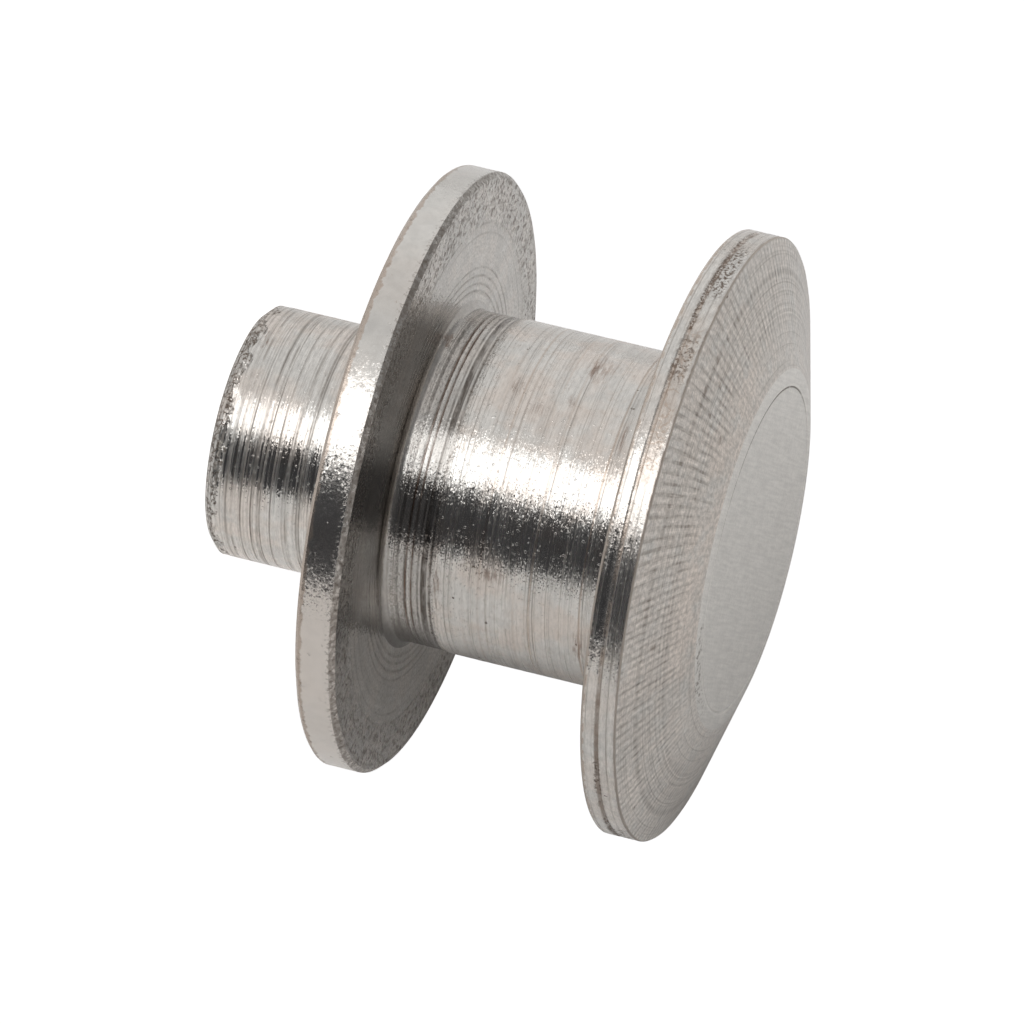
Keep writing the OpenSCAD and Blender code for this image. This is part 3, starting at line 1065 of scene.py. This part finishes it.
# The camera's aim is this far, in its own picture, from the middle of the collar's neck side
CAMERA_ELEVATION = 13.715
CAMERA_ROLL = 103.45
CAMERA_DISTANCE = 250.0
CAMERA_LENS = 376.7
AIM_RIGHT = 1.733
AIM_UP = -0.890


def card_side():
    """The direction from the pin to the card, level with the floor."""
    turn = math.radians(CARD_AZIMUTH)
    return Vector((math.sin(turn), -math.cos(turn), 0))


def studio_world():
    """A soft box beside the camera, a dark gap next to it, and a pale room that is dimmer higher up."""
    world = bpy.data.worlds.new("studio")
    bpy.context.scene.world = world
    world.use_nodes = True
    n = Nodes(world.node_tree)
    direction = n.add("ShaderNodeTexCoord").outputs["Generated"]
    x, y, z = n.split(direction)
    azimuth = n.times(n.math("ARCTAN2", x, n.times(y, -1.0)), 180 / math.pi)
    height = n.times(n.math("ARCSINE", z), 180 / math.pi)
    room = n.mix(n.window(height, *ABOVE_HEIGHT), ROOM, ROOM_ABOVE)
    for colour, round_pin, upward in (
            (KEY, KEY_AZIMUTH, KEY_HEIGHT),
            (ROOM_DARK, DARK_AZIMUTH, DARK_HEIGHT),
            (ROOM_DIM, DIM_AZIMUTH, DIM_HEIGHT)):
        mask = n.times(n.window(azimuth, *round_pin), n.window(height, *upward))
        room = n.mix(mask, room, colour)
    side = n.add("ShaderNodeVectorMath", {0: direction, 1: tuple(card_side())}, operation="DOT_PRODUCT")
    behind_card = n.step(side.outputs["Value"], 0.02, 0.05)
    room = n.mix(behind_card, room, BLACK)
    seen = n.add("ShaderNodeLightPath").outputs["Is Camera Ray"]
    background = n.add("ShaderNodeBackground", {"Color": n.mix(seen, room, WHITE), "Strength": 1.0})
    n.add("ShaderNodeOutputWorld", {"Surface": background.outputs[0]})


def flat_stage(name, corners):
    """A flat four-sided piece of the stage, with the nodes of its material."""
    mesh = bpy.data.meshes.new(name)
    mesh.from_pydata(corners, [], [(0, 1, 2, 3)])
    stage = bpy.data.objects.new(name, mesh)
    bpy.context.scene.collection.objects.link(stage)
    material = bpy.data.materials.new(name)
    material.use_nodes = True
    mesh.materials.append(material)
    return stage, Nodes(material.node_tree)


def floor():
    """A plain white floor under the spigot that keeps the pin's soft shadow."""
    corners = [(a * FLOOR_HALF * MM, b * FLOOR_HALF * MM, FLOOR_Z * MM) for a, b in SQUARE]
    plane, n = flat_stage("floor", corners)
    plane.visible_glossy = False
    plane.visible_diffuse = False
    plane.visible_shadow = False
    seen = n.add("ShaderNodeLightPath").outputs["Is Camera Ray"]
    n.glowing(FLOOR_COLOUR, n.times(seen, FLOOR_GLOW), one_sided=True)


def bench_card():
    """A white card behind the pin, close to both flanges. Only the steel's reflections show it."""
    out = card_side()
    across = out.cross(Vector((0, 0, 1))) * CARD_HALF * MM
    upward = Vector((0, 0, CARD_HALF * MM))
    centre = out * (FLANGE_R + CARD_GAP) * MM
    corners = [centre + across * a + upward * b for a, b in SQUARE]
    card, n = flat_stage("bench_card", corners)
    card.visible_camera = False
    card.visible_diffuse = False
    card.visible_shadow = False
    n.glowing(CARD_COLOUR, CARD_GLOW)


def camera():
    """Looks a little down on the head, and rolled so that the pin lies across the picture."""
    elevation = math.radians(CAMERA_ELEVATION)
    roll = math.radians(CAMERA_ROLL)
    back = Vector((0, -math.cos(elevation), math.sin(elevation)))
    level = Vector((1, 0, 0))
    upright = Vector((0, math.sin(elevation), math.cos(elevation)))
    right = level * math.cos(roll) + upright * math.sin(roll)
    up = upright * math.cos(roll) - level * math.sin(roll)
    target = Vector((0, 0, NECK_Z)) + right * AIM_RIGHT + up * AIM_UP
    data = bpy.data.cameras.new("camera")
    data.lens = CAMERA_LENS
    data.sensor_width = 36.0
    data.clip_start = 0.01
    data.clip_end = 3.0
    cam = bpy.data.objects.new("camera", data)
    turn = Matrix((right, up, back)).transposed().to_4x4()
    cam.matrix_world = Matrix.Translation((target + back * CAMERA_DISTANCE) * MM) @ turn
    bpy.context.scene.collection.objects.link(cam)
    bpy.context.scene.camera = cam


camera()
studio_world()
floor()
bench_card()
pin, zones = build_pin()
for zone in zones:
    pin.data.materials.append(ZONE_STEEL[zone](zone))
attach(pin, "root")
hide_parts(PIN)

bpy.context.scene.view_settings.view_transform = "Standard"
